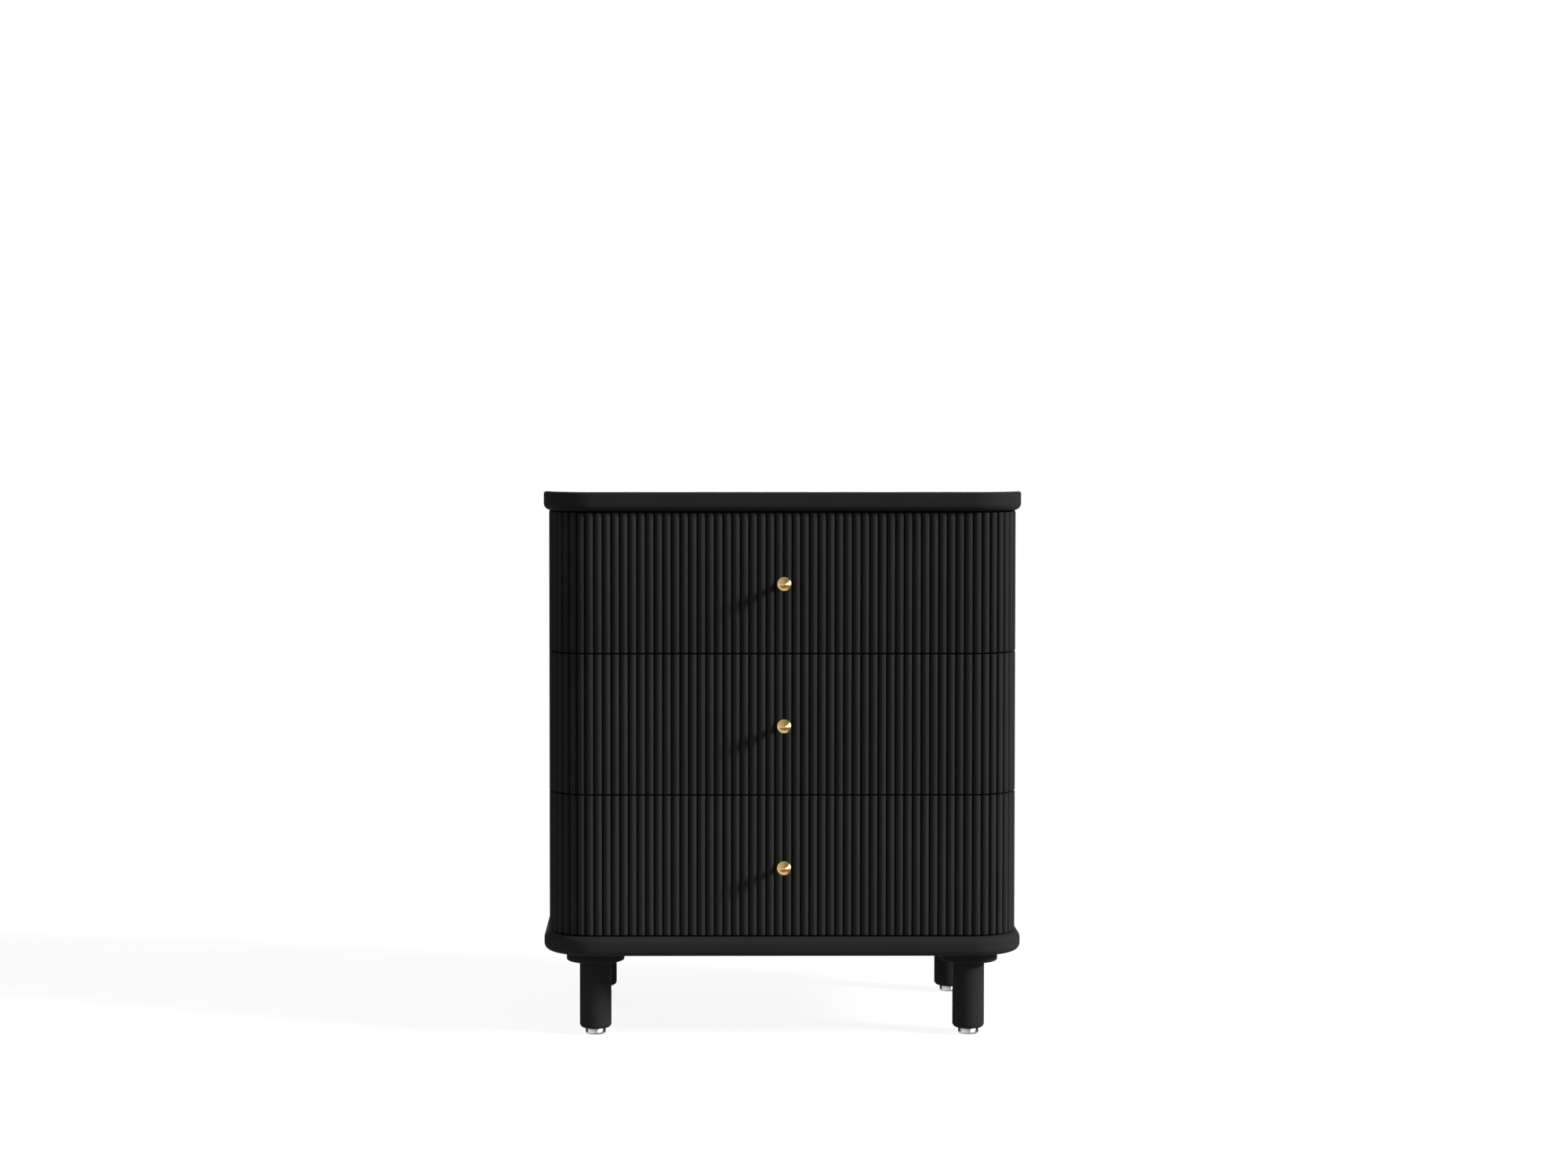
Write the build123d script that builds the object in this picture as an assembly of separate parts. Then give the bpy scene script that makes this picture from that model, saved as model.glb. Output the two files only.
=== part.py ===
from build123d import *

import math
import os

# Three-drawer nightstand: a carcass between two rounded panels, drawer fronts reeded round the
# front corners, telescopic runners, four turned legs and screw-in levelling feet.
# Frame: +X right, +Y back, +Z up. The origin is on the floor, in the middle of the object's box.
# Sizes are in millimetres.

# Overall
WIDTH = 600.0
DEPTH = 400.0
HEIGHT = 686.0
BASE_HEIGHT = 108.0

# Top and base panels
PANEL_THICK = 24.0
PANEL_EDGE_R = 8.5
TOP_EDGE_R = 3.5
CORNER_R = 64.6
OVERHANG = 6.7
BACK_OVERHANG = 5.0

# Carcass
SIDE_THICK = 18.0
BACK_THICK = 5.0
BACK_INSET = 8.0
GROOVE_DEPTH = 6.0
GROOVE_PLAY = 0.2
RAIL_WIDTH = 60.0
RAIL_THICK = 18.0

# Drawer fronts
DRAWERS = ("lower", "middle", "upper")
DRAWER_GAP = 2.0
REED_PITCH = 10.7
REED_HEIGHT = 4.4
REED_GAP = 0.7
FACING_WEB = 1.0
FRONT_THICK = 15.0

# Drawer boxes
BOX_RISE = 22.0
BOX_HEADROOM = 32.0
BOX_WALL = 12.0
BOX_FRONT_THICK = 24.0
BOX_BOTTOM_THICK = 5.0
BOX_BOTTOM_RISE = 10.0

# Telescopic runners, in the longest stock length that the cabinet takes
RUNNER_STOCK_STEP = 50.0
RUNNER_BACK_ROOM = 10.0
RUNNER_HEIGHT = 45.0
RUNNER_SPACE = 12.7
RUNNER_STEEL = 1.2
RUNNER_PLAY = 0.4
RUNNER_SETBACK = 3.0
RUNNER_LIP = 3.0

# Legs and their plates
LEG_D = 40.0
LEG_EDGE_R = 5.5
LEG_PLATE_D = 73.0
LEG_PLATE_THICK = 14.0
LEG_PLATE_EDGE_R = 2.0
BACK_LEG_INSET = 50.0

# Levelling feet
FOOT_D = 26.0
FOOT_HEIGHT = 8.0
FOOT_EDGE_R = 2.5
STUD_D = 8.0
STUD_LENGTH = 25.0
STUD_PLAY = 0.06
INSERT_D = 12.0
INSERT_LENGTH = 18.0
STUD_ROOM = 8.0

# Knobs
KNOB_D = 17.6
KNOB_PROJECTION = 25.0
KNOB_CONE = 4.6
KNOB_RIM = 2.2
KNOB_BACK = 4.0
KNOB_NECK_D = 7.0
KNOB_BASE_D = 13.0
KNOB_BASE_THICK = 2.5

# Fasteners
SCREW_D = 4.0
SCREW_HEAD_D = 8.0
SCREW_HEAD = 1.6
SCREW_BITE = 10.0
SCREW_MARGIN = 40.0
KNOB_SCREW_BITE = 9.0
FRONT_SCREW_X = 150.0
DOWEL_D = 8.0
DOWEL_LENGTH = 30.0
DOWEL_BITE = 12.0
DOWEL_MARGIN = 30.0
RAIL_DOWEL_SPACING = 30.0
CAM_D = 15.0
CAM_DEPTH = 12.5
CAM_EDGE = 24.0
LEG_BOLT_D = 8.0
LEG_BOLT_BITE = 14.0
LEG_BOLT_LENGTH = 55.0
PLATE_SCREW_CIRCLE_D = 57.0
PLATE_SCREWS = 4
PLATE_SCREW_HEAD = 2.6

# Places that follow from the sizes above
FRONT_Y = (KNOB_PROJECTION + OVERHANG - DEPTH) / 2
BACK_Y = FRONT_Y - OVERHANG + DEPTH
SIDE_X = WIDTH / 2 - OVERHANG
SIDE_INNER_X = SIDE_X - SIDE_THICK
CREST_R = CORNER_R - OVERHANG
GROOVE_R = CREST_R - REED_HEIGHT
CORNER_X = WIDTH / 2 - CORNER_R
CORNER_Y = FRONT_Y + CREST_R
SIDE_FRONT_Y = CORNER_Y + DRAWER_GAP
SIDE_BACK_Y = BACK_Y - BACK_OVERHANG
BACK_FACE_Y = SIDE_BACK_Y - BACK_INSET - BACK_THICK
BASE_TOP = BASE_HEIGHT + PANEL_THICK
TOP_UNDER = HEIGHT - PANEL_THICK
FRONT_HEIGHT = (TOP_UNDER - BASE_TOP - DRAWER_GAP * (len(DRAWERS) + 1)) / len(DRAWERS)
FRONT_BACK_Y = FRONT_Y + REED_HEIGHT + FACING_WEB + FRONT_THICK
BOX_HEIGHT = FRONT_HEIGHT - BOX_RISE - BOX_HEADROOM
BOX_HALF = SIDE_INNER_X - RUNNER_SPACE
RUNNER_FRONT_Y = SIDE_FRONT_Y + RUNNER_SETBACK
RUNNER_ROOM = BACK_FACE_Y - RUNNER_BACK_ROOM - RUNNER_FRONT_Y
RUNNER_LENGTH = RUNNER_STOCK_STEP * math.floor(RUNNER_ROOM / RUNNER_STOCK_STEP)
RUNNER_BACK_Y = RUNNER_FRONT_Y + RUNNER_LENGTH
BOX_SIDE_Y = FRONT_BACK_Y + BOX_FRONT_THICK
LEG_TOP = BASE_HEIGHT - LEG_PLATE_THICK
FLAT_REEDS = round(2 * CORNER_X / REED_PITCH)
CORNER_REEDS = round(GROOVE_R * math.pi / 2 / REED_PITCH)
ALL_REEDS = FLAT_REEDS + 2 * CORNER_REEDS
LEGS = {
    "front_left": (-CORNER_X, CORNER_Y),
    "front_right": (CORNER_X, CORNER_Y),
    "back_left": (-CORNER_X, BACK_Y - BACK_LEG_INSET),
    "back_right": (CORNER_X, BACK_Y - BACK_LEG_INSET),
}
SIDES = {"left": -1, "right": 1}


def block(x, y, z):
    """A box between two values on each axis."""
    size = (abs(x[1] - x[0]), abs(y[1] - y[0]), abs(z[1] - z[0]))
    middle = ((x[0] + x[1]) / 2, (y[0] + y[1]) / 2, (z[0] + z[1]) / 2)
    return Pos(*middle) * Box(*size)


def rod(start, direction, diameter, length):
    """A round rod from a point along a direction."""
    stand = (Align.CENTER, Align.CENTER, Align.MIN)
    return Plane(origin=start, z_dir=direction) * Cylinder(diameter / 2, length, align=stand)


def screw(seat, direction, bite, head=SCREW_HEAD):
    """A screw whose head sits on the seat point and whose shank goes along the direction."""
    back = tuple(-d for d in direction)
    return rod(seat, direction, SCREW_D, bite) + rod(seat, back, SCREW_HEAD_D, head)


def on_front(station, out):
    """The plan point at a station along the front, counted in reeds from the left end, and
    at a distance out from the groove line."""
    radius = GROOVE_R + out
    if station > ALL_REEDS / 2:
        x, y = on_front(ALL_REEDS - station, out)
        return (-x, y)
    if station >= CORNER_REEDS:
        x = -CORNER_X + (station - CORNER_REEDS) * 2 * CORNER_X / FLAT_REEDS
        return (x, CORNER_Y - radius)
    angle = math.pi / 2 * station / CORNER_REEDS
    return (-CORNER_X - radius * math.cos(angle), CORNER_Y - radius * math.sin(angle))


def smooth_line(out):
    """The edges of a smooth line round the front, from the left end to the right end."""
    corner = CORNER_REEDS
    marks = (0, corner / 2, corner, ALL_REEDS - corner, ALL_REEDS - corner / 2, ALL_REEDS)
    points = [on_front(mark, out) for mark in marks]
    return [
        Edge.make_three_point_arc(*points[0:3]),
        Edge.make_line(points[2], points[3]),
        Edge.make_three_point_arc(*points[3:6]),
    ]


def reeded_line():
    """The edges of the reeded line round the front: one arc for each reed, with a gap between."""
    edge = REED_GAP / 2 / REED_PITCH
    edges = [Edge.make_line(on_front(0, 0), on_front(edge, 0))]
    for reed in range(ALL_REEDS):
        start = on_front(reed + edge, 0)
        end = on_front(reed + 1 - edge, 0)
        following = on_front(min(reed + 1 + edge, ALL_REEDS), 0)
        edges.append(Edge.make_three_point_arc(start, on_front(reed + 0.5, REED_HEIGHT), end))
        edges.append(Edge.make_line(end, following))
    return edges


def upright(edges, z, height):
    """The upright solid on a closed plan outline."""
    return Pos(0, 0, z) * extrude(Face(Wire(edges)), height, dir=(0, 0, 1))


def band(outer, inner_out, z):
    """A drawer-high wall between an outer line round the front and a smooth inner one."""
    inner = smooth_line(inner_out)
    ends = [
        Edge.make_line(on_front(station, inner_out), point)
        for station, point in ((0, outer[0] @ 0), (ALL_REEDS, outer[-1] @ 1))
    ]
    return upright([*outer, *inner, *ends], z, FRONT_HEIGHT)


def within_front(out, z):
    """The drawer-high space inside a smooth line round the front, run back past the box front."""
    line = smooth_line(out)
    left, right = line[0] @ 0, line[-1] @ 1
    run = Vector(0, BOX_FRONT_THICK, 0)
    behind = [
        Edge.make_line(right, right + run),
        Edge.make_line(right + run, left + run),
        Edge.make_line(left + run, left),
    ]
    return upright([*line, *behind], z, FRONT_HEIGHT)


def panel(z, upper_r):
    """A top or base panel: round front corners, and rounded edges but at the back."""
    half = WIDTH / 2
    front = FRONT_Y - OVERHANG
    bend = front + CORNER_R
    turn = CORNER_R * math.sqrt(0.5)
    outline = [
        Edge.make_line((half, BACK_Y), (-half, BACK_Y)),
        Edge.make_line((-half, BACK_Y), (-half, bend)),
        Edge.make_three_point_arc((-half, bend), (-CORNER_X - turn, bend - turn), (-CORNER_X, front)),
        Edge.make_line((-CORNER_X, front), (CORNER_X, front)),
        Edge.make_three_point_arc((CORNER_X, front), (CORNER_X + turn, bend - turn), (half, bend)),
        Edge.make_line((half, bend), (half, BACK_Y)),
    ]
    slab = upright(outline, z, PANEL_THICK)
    lower_rim = slab.faces().sort_by(Axis.Z)[0].edges().sort_by(Axis.Y)[:-1]
    slab = fillet(lower_rim, PANEL_EDGE_R)
    upper_rim = slab.faces().sort_by(Axis.Z)[-1].edges().sort_by(Axis.Y)[:-1]
    return fillet(upper_rim, upper_r)


def dowel_rows():
    """Where the upright dowels stand along a side panel: behind the rail, midway and near the back."""
    front = SIDE_FRONT_Y + RAIL_WIDTH + DOWEL_MARGIN
    back = BACK_FACE_Y - DOWEL_MARGIN
    return (front, (front + back) / 2, back)


def dowels():
    """Dowels that pin each side panel to the base, the top and the front rail."""
    lows = (BASE_TOP - DOWEL_BITE, TOP_UNDER + DOWEL_BITE - DOWEL_LENGTH)
    rail_y = SIDE_FRONT_Y + RAIL_WIDTH / 2
    rail_z = TOP_UNDER - RAIL_THICK / 2
    pins = []
    for side in SIDES.values():
        for y in dowel_rows():
            for z in lows:
                foot = (side * (SIDE_X - SIDE_THICK / 2), y, z)
                pins.append(rod(foot, (0, 0, 1), DOWEL_D, DOWEL_LENGTH))
        for y in (rail_y - RAIL_DOWEL_SPACING / 2, rail_y + RAIL_DOWEL_SPACING / 2):
            end = (side * (SIDE_INNER_X + DOWEL_BITE), y, rail_z)
            pins.append(rod(end, (-side, 0, 0), DOWEL_D, DOWEL_LENGTH))
    return pins


def cam_locks():
    """Cam locks let into the inner face of the side panels, between the upright dowels."""
    front, middle, back = dowel_rows()
    return [
        rod((side * SIDE_INNER_X, y, z), (side, 0, 0), CAM_D, CAM_DEPTH)
        for side in SIDES.values()
        for y in ((front + middle) / 2, (middle + back) / 2)
        for z in (BASE_TOP + CAM_EDGE, TOP_UNDER - CAM_EDGE)
    ]


def front_bottom(index):
    """The lower edge of a drawer front, counted from the bottom."""
    return BASE_TOP + DRAWER_GAP + index * (FRONT_HEIGHT + DRAWER_GAP)


def runner_level(index):
    """The middle height of a drawer's runners."""
    return front_bottom(index) + BOX_RISE + BOX_HEIGHT / 2


def runner_rows():
    """Where the screws sit along a runner."""
    return (
        RUNNER_FRONT_Y + SCREW_MARGIN,
        (RUNNER_FRONT_Y + RUNNER_BACK_Y) / 2,
        RUNNER_BACK_Y - SCREW_MARGIN,
    )


def channel(side, web_x, lip_x, half_height, level):
    """A steel channel along the runner: an upright web and two flanges from web_x to lip_x, both
    measured from the side panel's inner face towards the drawer."""
    steel = math.copysign(RUNNER_STEEL, lip_x - web_x)
    run = (RUNNER_FRONT_Y, RUNNER_BACK_Y)

    def place(offset):
        return side * (SIDE_INNER_X - offset)

    web = block((place(web_x), place(web_x + steel)), run, (level - half_height, level + half_height))
    for up in (-1, 1):
        heights = (level + up * half_height, level + up * (half_height - RUNNER_STEEL))
        web += block((place(web_x), place(lip_x)), run, heights)
    return web


def cabinet_runner(side, level):
    return channel(side, 0, RUNNER_SPACE - RUNNER_LIP, RUNNER_HEIGHT / 2, level)


def intermediate_runner(side, level):
    half_height = RUNNER_HEIGHT / 2 - RUNNER_STEEL - RUNNER_PLAY
    return channel(side, RUNNER_SPACE / 2 - RUNNER_STEEL, RUNNER_SPACE - RUNNER_LIP, half_height, level)


def drawer_runner(side, level):
    half_height = RUNNER_HEIGHT / 2 - 2 * (RUNNER_STEEL + RUNNER_PLAY)
    return channel(side, RUNNER_SPACE, RUNNER_SPACE / 2 + RUNNER_PLAY, half_height, level)


def carcass():
    """The panels, the rail and what fastens them and the cabinet half of the runners."""
    pins = dowels()
    cams = cam_locks()
    runner_screws = [
        screw((side * (SIDE_INNER_X - RUNNER_STEEL), y, runner_level(i)), (side, 0, 0), SCREW_BITE)
        for i in range(len(DRAWERS))
        for side in SIDES.values()
        for y in runner_rows()
    ]
    groove = (BACK_FACE_Y - GROOVE_PLAY, BACK_FACE_Y + BACK_THICK + GROOVE_PLAY)
    heights = (BASE_TOP, TOP_UNDER)
    nodes = {}
    for name, side in SIDES.items():
        wall = block((side * SIDE_INNER_X, side * SIDE_X), (SIDE_FRONT_Y, SIDE_BACK_Y), heights)
        wall -= block((side * SIDE_INNER_X, side * (SIDE_INNER_X + GROOVE_DEPTH)), groove, heights)
        nodes[f"{name}_side_panel"] = [wall - pins - cams - runner_screws]
    reach = SIDE_INNER_X + GROOVE_DEPTH - GROOVE_PLAY
    rail_y = (SIDE_FRONT_Y, SIDE_FRONT_Y + RAIL_WIDTH)
    nodes["back_panel"] = [block((-reach, reach), (BACK_FACE_Y, BACK_FACE_Y + BACK_THICK), heights)]
    rail = block((-SIDE_INNER_X, SIDE_INNER_X), rail_y, (TOP_UNDER - RAIL_THICK, TOP_UNDER))
    nodes["front_rail"] = [rail - pins]
    nodes["top_panel"] = [panel(TOP_UNDER, TOP_EDGE_R) - pins]
    nodes["base_panel"] = [panel(BASE_HEIGHT, PANEL_EDGE_R) - pins - leg_bolts() - plate_screws()]
    nodes["carcass_dowels"] = pins
    nodes["cam_locks"] = cams
    nodes["cabinet_runner_screws"] = runner_screws
    for i, drawer in enumerate(DRAWERS):
        runners = [cabinet_runner(side, runner_level(i)) for side in SIDES.values()]
        nodes[f"{drawer}_cabinet_runners"] = [runner - runner_screws for runner in runners]
    return nodes


def leg_bolts():
    """Bolts that draw each leg up against its plate and the base panel."""
    low = BASE_HEIGHT + LEG_BOLT_BITE - LEG_BOLT_LENGTH
    return [rod((x, y, low), (0, 0, 1), LEG_BOLT_D, LEG_BOLT_LENGTH) for x, y in LEGS.values()]


def plate_screws():
    """Screws through the leg plates into the base panel, with their heads let into the plates."""
    radius = PLATE_SCREW_CIRCLE_D / 2
    turns = [math.tau * (n + 0.5) / PLATE_SCREWS for n in range(PLATE_SCREWS)]
    seat = LEG_TOP + PLATE_SCREW_HEAD
    bite = LEG_PLATE_THICK - PLATE_SCREW_HEAD + SCREW_BITE
    return [
        screw((x + radius * math.cos(a), y + radius * math.sin(a), seat), (0, 0, 1), bite, PLATE_SCREW_HEAD)
        for x, y in LEGS.values()
        for a in turns
    ]


def rounded_disc(x, y, z, diameter, height, edge):
    """An upright round with its lower rim rounded."""
    disc = rod((x, y, z), (0, 0, 1), diameter, height)
    return fillet(disc.edges().sort_by(Axis.Z)[0], edge)


def undercarriage():
    """The legs, their plates and inserts, and the feet that screw into them."""
    bolts = leg_bolts()
    screws = plate_screws()
    nodes = {"leg_bolts": bolts, "leg_plate_screws": screws, "leg_inserts": []}
    for name, (x, y) in LEGS.items():
        insert = rod((x, y, FOOT_HEIGHT), (0, 0, 1), INSERT_D, INSERT_LENGTH)
        bore = rod((x, y, FOOT_HEIGHT), (0, 0, 1), STUD_D + 2 * STUD_PLAY, STUD_LENGTH + STUD_ROOM)
        leg = rounded_disc(x, y, FOOT_HEIGHT, LEG_D, LEG_TOP - FOOT_HEIGHT, LEG_EDGE_R)
        plate = rounded_disc(x, y, LEG_TOP, LEG_PLATE_D, LEG_PLATE_THICK, LEG_PLATE_EDGE_R)
        foot = rounded_disc(x, y, 0, FOOT_D, FOOT_HEIGHT, FOOT_EDGE_R)
        stud = rod((x, y, FOOT_HEIGHT), (0, 0, 1), STUD_D, STUD_LENGTH)
        nodes[f"leg_{name}"] = [leg - bolts - insert - bore]
        nodes[f"leg_plate_{name}"] = [plate - bolts - screws]
        nodes[f"foot_{name}"] = [foot + stud]
        nodes["leg_inserts"].append(insert - bore)
    return nodes


def knob(level):
    """A turned knob: a base on the reeds, a neck and a head with a coned face."""
    head = KNOB_D / 2
    neck = KNOB_NECK_D / 2
    face = KNOB_PROJECTION - KNOB_CONE
    rim = face - KNOB_RIM
    profile = [
        (0, 0),
        (KNOB_BASE_D / 2, 0),
        (KNOB_BASE_D / 2, KNOB_BASE_THICK),
        (neck, KNOB_BASE_THICK),
        (neck, rim - KNOB_BACK),
        (head, rim),
        (head, face),
        (0, KNOB_PROJECTION),
    ]
    outline = Face(Wire.make_polygon([(x, 0, z) for x, z in profile]))
    turned = revolve(outline, Axis.Z)
    return Plane(origin=(0, FRONT_Y, level), z_dir=(0, -1, 0)) * turned


def drawer(index, name):
    """One drawer: its reeded facing, bent front, box, knob, runners and fasteners."""
    low = front_bottom(index)
    centre = low + FRONT_HEIGHT / 2
    level = runner_level(index)
    box = (low + BOX_RISE, low + BOX_RISE + BOX_HEIGHT)
    inner = BOX_HALF - BOX_WALL
    tray = (box[0] + BOX_BOTTOM_RISE, box[0] + BOX_BOTTOM_RISE + BOX_BOTTOM_THICK)
    slot_z = (tray[0] - GROOVE_PLAY, tray[1] + GROOVE_PLAY)
    tray_x = (-inner - GROOVE_DEPTH, inner + GROOVE_DEPTH)
    tray_y = (BOX_SIDE_Y - GROOVE_DEPTH, RUNNER_BACK_Y - BOX_WALL + GROOVE_DEPTH)
    slot = block(tray_x, tray_y, slot_z)

    knob_seat = (0, BOX_SIDE_Y, centre)
    knob_bite = BOX_SIDE_Y - FRONT_Y + KNOB_SCREW_BITE
    front_bite = BOX_FRONT_THICK + SCREW_BITE
    fasteners = [screw(knob_seat, (0, -1, 0), knob_bite)]
    fasteners += [
        screw((side * FRONT_SCREW_X, BOX_SIDE_Y, centre), (0, -1, 0), front_bite) for side in SIDES.values()
    ]
    fasteners += [
        screw((side * (BOX_HALF + RUNNER_STEEL), y, level), (-side, 0, 0), SCREW_BITE)
        for side in SIDES.values()
        for y in runner_rows()
    ]

    web = -FACING_WEB
    back = web - FRONT_THICK
    box_front = block((-BOX_HALF, BOX_HALF), (FRONT_BACK_Y, BOX_SIDE_Y), box)
    nodes = {
        "facing": band(reeded_line(), web, low) - fasteners,
        "front": band(smooth_line(web), back, low) - fasteners,
        "box_front": (box_front & within_front(back, low)) - slot - fasteners,
        "box_back": block((-inner, inner), (RUNNER_BACK_Y - BOX_WALL, RUNNER_BACK_Y), box) - slot,
        "box_bottom": block(
            (tray_x[0] + GROOVE_PLAY, tray_x[1] - GROOVE_PLAY),
            (tray_y[0] + GROOVE_PLAY, tray_y[1] - GROOVE_PLAY),
            tray,
        ),
        "knob": knob(centre) - fasteners,
    }
    for side_name, side in SIDES.items():
        wall = block((side * inner, side * BOX_HALF), (BOX_SIDE_Y, RUNNER_BACK_Y), box)
        nodes[f"box_{side_name}"] = wall - slot - fasteners
    named = {f"{name}_drawer_{piece}": [shape] for piece, shape in nodes.items()}
    runners = [drawer_runner(side, level) for side in SIDES.values()]
    named[f"{name}_drawer_runners"] = [runner - fasteners for runner in runners]
    named[f"{name}_intermediate_runners"] = [intermediate_runner(side, level) for side in SIDES.values()]
    named[f"{name}_drawer_fasteners"] = fasteners
    return named


def main():
    nodes = {**carcass(), **undercarriage()}
    for index, name in enumerate(DRAWERS):
        nodes.update(drawer(index, name))
    os.makedirs("parts", exist_ok=True)
    for name, shapes in nodes.items():
        solids = [solid for shape in shapes for solid in shape.solids()]
        export_step(solids[0] if len(solids) == 1 else Compound(solids), f"parts/{name}.step")
    print(len(nodes), "nodes,", FLAT_REEDS, "reeds on the flat,", CORNER_REEDS, "on each corner")


main()
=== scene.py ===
import math

import bmesh
import bpy
import numpy as np
from bpy.props import FloatProperty, FloatVectorProperty, IntProperty, PointerProperty
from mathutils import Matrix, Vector


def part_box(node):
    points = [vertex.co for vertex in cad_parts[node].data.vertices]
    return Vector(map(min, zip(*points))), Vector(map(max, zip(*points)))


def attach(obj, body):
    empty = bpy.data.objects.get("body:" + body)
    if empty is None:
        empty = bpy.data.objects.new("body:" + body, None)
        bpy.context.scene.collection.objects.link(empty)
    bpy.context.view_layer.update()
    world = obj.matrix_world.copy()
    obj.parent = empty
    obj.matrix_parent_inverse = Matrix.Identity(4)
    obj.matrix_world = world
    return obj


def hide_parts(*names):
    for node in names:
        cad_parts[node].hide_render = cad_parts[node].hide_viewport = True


bl_info = {
    "name": "Reeded nightstand",
    "version": (1, 0, 0),
    "blender": (4, 5, 0),
    "location": "3D View > Sidebar > Nightstand",
    "description": "Dresses a black reeded nightstand with drawers around its packed frame",
    "category": "Object",
}

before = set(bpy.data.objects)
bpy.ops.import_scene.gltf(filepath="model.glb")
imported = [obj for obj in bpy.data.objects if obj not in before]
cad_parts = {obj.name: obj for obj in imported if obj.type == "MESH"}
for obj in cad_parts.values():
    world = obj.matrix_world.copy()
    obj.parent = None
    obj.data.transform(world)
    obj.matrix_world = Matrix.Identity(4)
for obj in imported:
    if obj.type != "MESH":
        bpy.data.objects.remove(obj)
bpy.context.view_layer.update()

DRAWERS = ("lower", "middle", "upper")
LEGS = ("front_left", "front_right", "back_left", "back_right")
CABINET = "cabinet"
CREST = "crest"
UP = (0.0, 0.0, 1.0)
MIRROR_X = np.array([-1.0, 1.0])
WHITE = (1.0, 1.0, 1.0, 1.0)

# Turns of the coordinates that lay grain and streaks along an axis, and what most shader groups put out
ALONG_X = (0.0, 0.0, 0.0)
ALONG_Y = (0.0, 0.0, -math.pi / 2)
ALONG_Z = (0.0, math.pi / 2, 0.0)
SURFACE = (("Colour", "Color"), ("Roughness", "Float"), ("Height", "Float"))

# Slots, each with the material that fills it
BLACK = ("black_lacquer", "satin_black_lacquer")
REEDED = ("black_lacquer", "reeded_black_lacquer")
BACK = ("back_board", "matt_black_hardboard")
BRASS = ("knob_brass", "polished_brass")
CHROME = ("foot_chrome", "polished_foot_plate")
STEEL = ("zinc_steel", "zinc_plated_steel")

# Shares that shape the small pieces: of a screw head's height or radius, of a runner hole's patch, of a
# leg's length, of a thread's pitch and of the way from a knob's base to its rim; and how many rows of
# points a thread's turn has, how sharply a knob flares, and how many growth rings the wood shows
DOME_FALL = 0.35
CROSS_DEPTH = 0.45
CROSS_HALF_WIDTH = 0.16
CROSS_SLOPE = 0.08
CROSS_REACH = 0.62
CROSS_END = 0.1
HEAD_RING = 0.9
SHANK_RING = 0.75
CAM_BODY = 0.97
HOLE_SHARE = 0.4
HOLE_RING = 0.7
LEG_BORE = 0.4
THREAD_DEPTH = 0.61
THREAD_ROWS = 8
KNOB_WAIST = 0.35
KNOB_FLARE = 2.4
GROWTH_RINGS = 9.0

# Lengths in metres that count as none, the slope from which a face looks up, a direction along no axis, and
# the range that noise mostly keeps to
MERGED = 1e-7
NEAR = 1e-5
TINY = 1e-9
UPWARD = 0.6
ASKEW = (0.3, 0.5, 0.8)
NOISE = (0.3, 0.7)


def sized(name, description, default):
    """A length that a user may change, in metres."""
    return FloatProperty(name=name, description=description, default=default, unit="LENGTH", precision=4)


def coloured(name, description, default):
    """A linear colour that a user may change."""
    return FloatVectorProperty(
        name=name, description=description, default=default, subtype="COLOR", size=3, min=0.0, max=1.0
    )


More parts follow.
